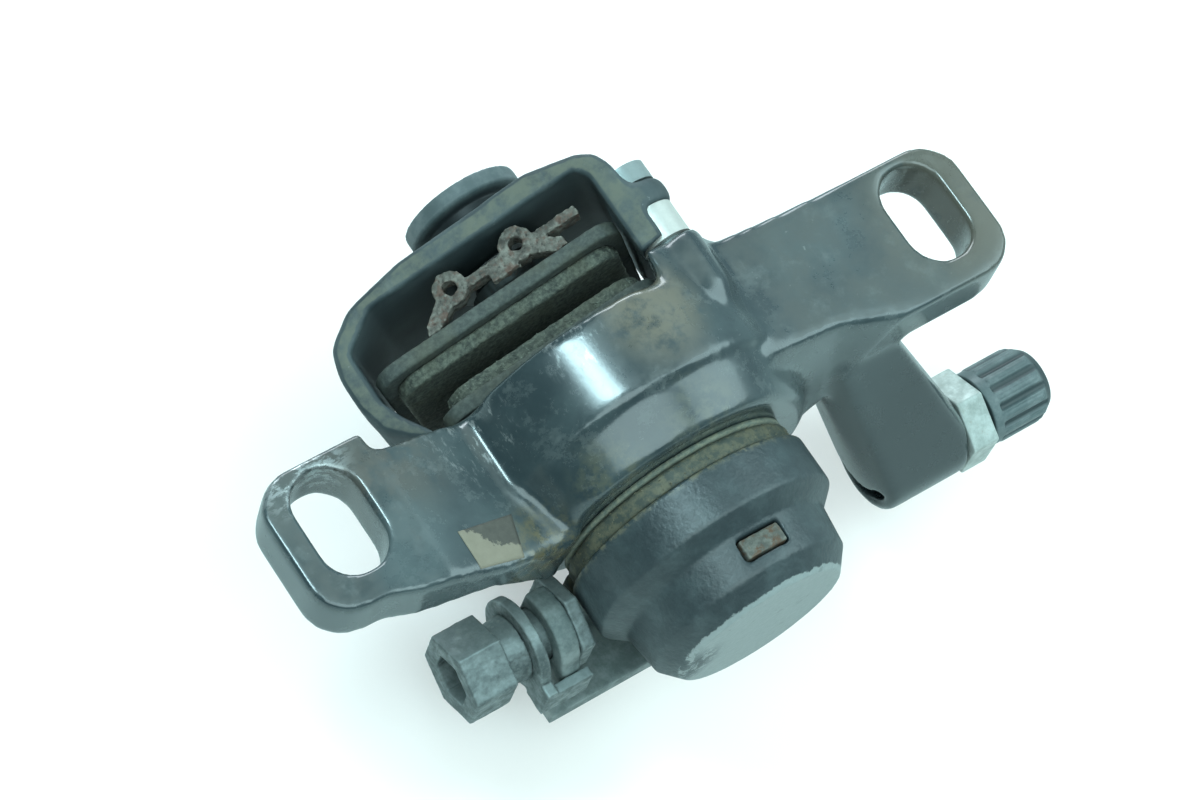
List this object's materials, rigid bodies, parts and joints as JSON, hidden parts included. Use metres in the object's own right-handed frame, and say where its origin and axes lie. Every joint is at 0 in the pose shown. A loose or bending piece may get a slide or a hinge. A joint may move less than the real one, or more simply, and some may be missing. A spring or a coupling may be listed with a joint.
{
  "type": "disc brake caliper",
  "caption": "Cable-pulled disc brake caliper with slotted mounting ears, a ball-ramp lever under a plastic cap, two pads, a pad adjuster and a barrel adjuster.",
  "frame": {"origin": "midway between the two bolt slots, on the ears' mounting face", "axes": "+X towards the cable stop, +Y inboard towards the wheel, +Z out along the mounting bolts"},
  "size_m": [0.0949, 0.0568, 0.0408],
  "materials": {
    "body": "worn glossy black paint",
    "zinc": "dull zinc plate",
    "steel": "plain steel",
    "bronze": "bearing bronze",
    "backing": "dusty dark plate",
    "lining": "pressed friction compound",
    "rusty_steel": "rusted spring steel",
    "rubber": "matte",
    "cap_plastic": "textured dark plastic",
    "knob_plastic": "ribbed black plastic"
  },
  "bodies": {
    "caliper": {"caliper_body": "body", "inner_bracket": "body", "bracket_bolt": "zinc", "bracket_spacer": "zinc", "bracket_pin": "steel", "spindle_bush": "bronze", "thrust_washer": "bronze", "dust_seal": "rubber", "barrel_lock_nut": "zinc"},
    "lever": {"lever_arm": "steel", "spindle": "steel", "spindle_nut": "zinc", "ramp_balls": "steel", "ball_cage": "bronze", "return_spring": "steel", "cap_retainer": "rusty_steel", "actuator_cap": "cap_plastic", "anchor_bolt": "zinc", "anchor_collar": "zinc", "pinch_washer": "zinc", "anchor_nut": "zinc"},
    "pusher": {"ramp_plate": "steel", "pusher_piston": "steel", "piston_seal": "rubber", "moving_pad_backing": "backing", "moving_pad_lining": "lining"},
    "adjuster": {"adjuster_knob": "knob_plastic", "adjuster_ring": "rubber", "adjuster_clip": "steel"},
    "fixed_pad": {"fixed_pad_backing": "backing", "fixed_pad_lining": "lining", "pad_spring_clip": "rusty_steel", "adjuster_anvil": "steel"},
    "barrel_stem": {"barrel_stem": "zinc"},
    "barrel_knob": {"barrel_knob": "knob_plastic"}
  },
  "joints": [
    {"name": "lever_swing", "type": "hinge", "parent": "caliper", "child": "lever", "pos_m": [-0.0005, -0.012, -0.0058], "axis": [0, -1, 0], "range_deg": [0, 55], "stiffness_Nm_per_rad": 0.2, "springref_deg": -17.19},
    {"name": "pusher_slide", "type": "slide", "parent": "caliper", "child": "pusher", "axis": [0, 1, 0], "range_m": [0, 0.0009]},
    {"name": "adjuster_turn", "type": "hinge", "parent": "caliper", "child": "adjuster", "pos_m": [-0.00161, 0.02, -0.00625], "axis": [0, -1, 0], "range_deg": [0, 324]},
    {"name": "fixed_pad_slide", "type": "slide", "parent": "caliper", "child": "fixed_pad", "axis": [0, -1, 0], "range_m": [0, 0.0009]},
    {"name": "barrel_slide", "type": "slide", "parent": "caliper", "child": "barrel_stem", "axis": [1, 0, 0], "range_m": [0, 0.003]},
    {"name": "barrel_turn", "type": "hinge", "parent": "barrel_stem", "child": "barrel_knob", "pos_m": [0.0383, -0.0147, -0.0213], "axis": [1, 0, 0], "range_deg": [0, 1080]}
  ],
  "couplings": [
    {"joint": "lever_swing", "follows": "pusher_slide", "rad_per_m": 1066.5},
    {"joint": "adjuster_turn", "follows": "fixed_pad_slide", "rad_per_m": 6283},
    {"joint": "barrel_turn", "follows": "barrel_slide", "rad_per_m": 6283}
  ]
}
